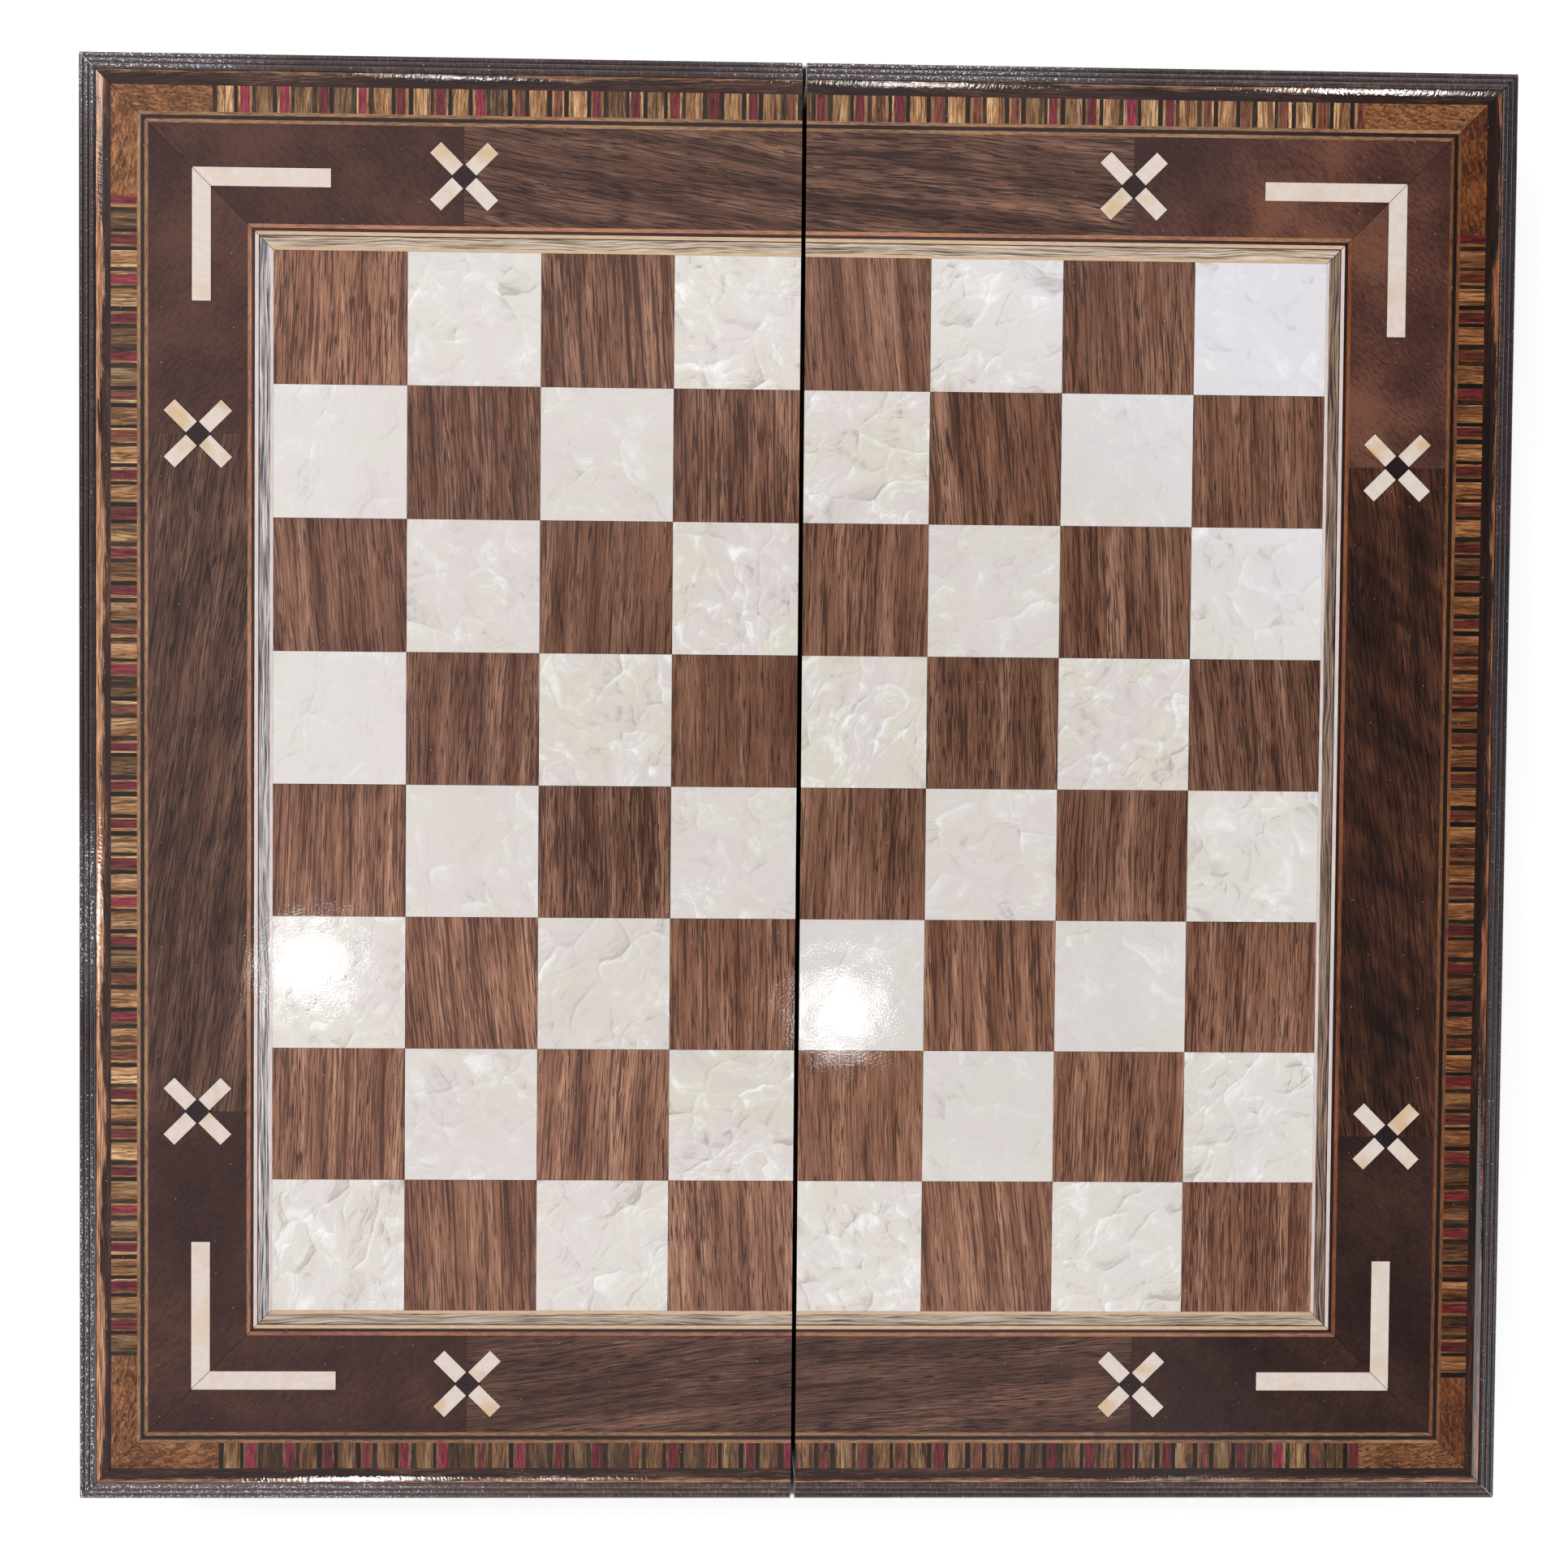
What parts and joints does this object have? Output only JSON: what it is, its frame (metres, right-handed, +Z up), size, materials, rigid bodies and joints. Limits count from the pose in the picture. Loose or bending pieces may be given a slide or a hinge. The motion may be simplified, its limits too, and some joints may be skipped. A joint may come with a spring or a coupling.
{
  "type": "folding chess board",
  "caption": "Square inlaid folding game board of two hinged shallow trays, shown open flat with its walnut and pearl playing squares up, with banded border and hook latches.",
  "frame": {"origin": "centre of the open board, at the lowest point of the hinge knuckles on which it stands", "axes": "+X across the fold towards the right tray, +Y along the seam, +Z up out of the playing surface"},
  "size_m": [0.3976, 0.4, 0.0318],
  "materials": {
    "base_panel": "stained plywood, matt",
    "outer_wall": "dark stained beech, lacquered",
    "seam_wall": "dark stained beech, lacquered",
    "end_walls": "dark stained beech, lacquered",
    "moulding": "black-brown reeded wood, gloss lacquer",
    "edge_strip": "dark brown veneer with light streaks, gloss lacquer",
    "light_lines": "light stringing, gloss lacquer",
    "black_line": "black dyed stringing, gloss lacquer",
    "band_tan": "tan end-grain slips, gloss lacquer",
    "band_black": "black-green dyed slips, gloss lacquer",
    "band_red": "red dyed slips, gloss lacquer",
    "band_corners": "amber burl veneer, gloss lacquer",
    "border_corners": "dark walnut veneer, gloss lacquer",
    "border_middles": "streaked walnut veneer, gloss lacquer",
    "bone_bars": "polished bone",
    "bone_arms": "polished bone",
    "diamonds": "polished black horn",
    "frame_light": "light stringing, gloss lacquer",
    "frame_dark": "dark stringing, gloss lacquer",
    "frame_wood": "grey streaked veneer, gloss lacquer",
    "dark_squares": "walnut veneer, gloss lacquer",
    "light_squares": "mother-of-pearl sheet, gloss",
    "inner_sheet": "brown veneer, satin lacquer",
    "dark_points": "dark walnut veneer, satin lacquer",
    "light_points": "maple veneer, satin lacquer",
    "hinge_leaves": "brushed brass",
    "hinge_screws": "turned brass",
    "hinge_pins": "turned brass",
    "hook_screws": "turned brass",
    "latch_pegs": "turned brass",
    "hooks": "brushed brass"
  },
  "bodies": {
    "left_tray": {"left_base_panel": "base_panel", "left_outer_wall": "outer_wall", "left_seam_wall": "seam_wall", "left_end_walls": "end_walls", "left_moulding": "moulding", "left_edge_strip": "edge_strip", "left_light_lines": "light_lines", "left_black_line": "black_line", "left_band_tan": "band_tan", "left_band_black": "band_black", "left_band_red": "band_red", "left_band_corners": "band_corners", "left_border_corners": "border_corners", "left_border_middles": "border_middles", "left_bone_bars": "bone_bars", "left_bone_arms": "bone_arms", "left_diamonds": "diamonds", "left_frame_light": "frame_light", "left_frame_dark": "frame_dark", "left_frame_wood": "frame_wood", "left_dark_squares": "dark_squares", "left_light_squares": "light_squares", "left_inner_sheet": "inner_sheet", "left_dark_points": "dark_points", "left_light_points": "light_points", "left_hinge_leaves": "hinge_leaves", "left_hinge_screws": "hinge_screws", "hinge_pins": "hinge_pins", "hook_screws": "hook_screws"},
    "right_tray": {"right_base_panel": "base_panel", "right_outer_wall": "outer_wall", "right_seam_wall": "seam_wall", "right_end_walls": "end_walls", "right_moulding": "moulding", "right_edge_strip": "edge_strip", "right_light_lines": "light_lines", "right_black_line": "black_line", "right_band_tan": "band_tan", "right_band_black": "band_black", "right_band_red": "band_red", "right_band_corners": "band_corners", "right_border_corners": "border_corners", "right_border_middles": "border_middles", "right_bone_bars": "bone_bars", "right_bone_arms": "bone_arms", "right_diamonds": "diamonds", "right_frame_light": "frame_light", "right_frame_dark": "frame_dark", "right_frame_wood": "frame_wood", "right_dark_squares": "dark_squares", "right_light_squares": "light_squares", "right_inner_sheet": "inner_sheet", "right_dark_points": "dark_points", "right_light_points": "light_points", "right_hinge_leaves": "hinge_leaves", "right_hinge_screws": "hinge_screws", "latch_pegs": "latch_pegs"},
    "far_hook": {"far_hook": "hooks"},
    "near_hook": {"near_hook": "hooks"}
  },
  "joints": [
    {"name": "fold", "type": "hinge", "parent": "left_tray", "child": "right_tray", "pos_m": [0, 0, 0.0016], "axis": [0, 1, 0], "range_deg": [0, 180]},
    {"name": "far_hook_turn", "type": "hinge", "parent": "left_tray", "child": "far_hook", "pos_m": [-0.19495, 0.096, 0.0088], "axis": [1, 0, 0], "range_deg": [0, 90]},
    {"name": "near_hook_turn", "type": "hinge", "parent": "left_tray", "child": "near_hook", "pos_m": [-0.19495, -0.096, 0.0088], "axis": [-1, 0, 0], "range_deg": [0, 90]}
  ]
}
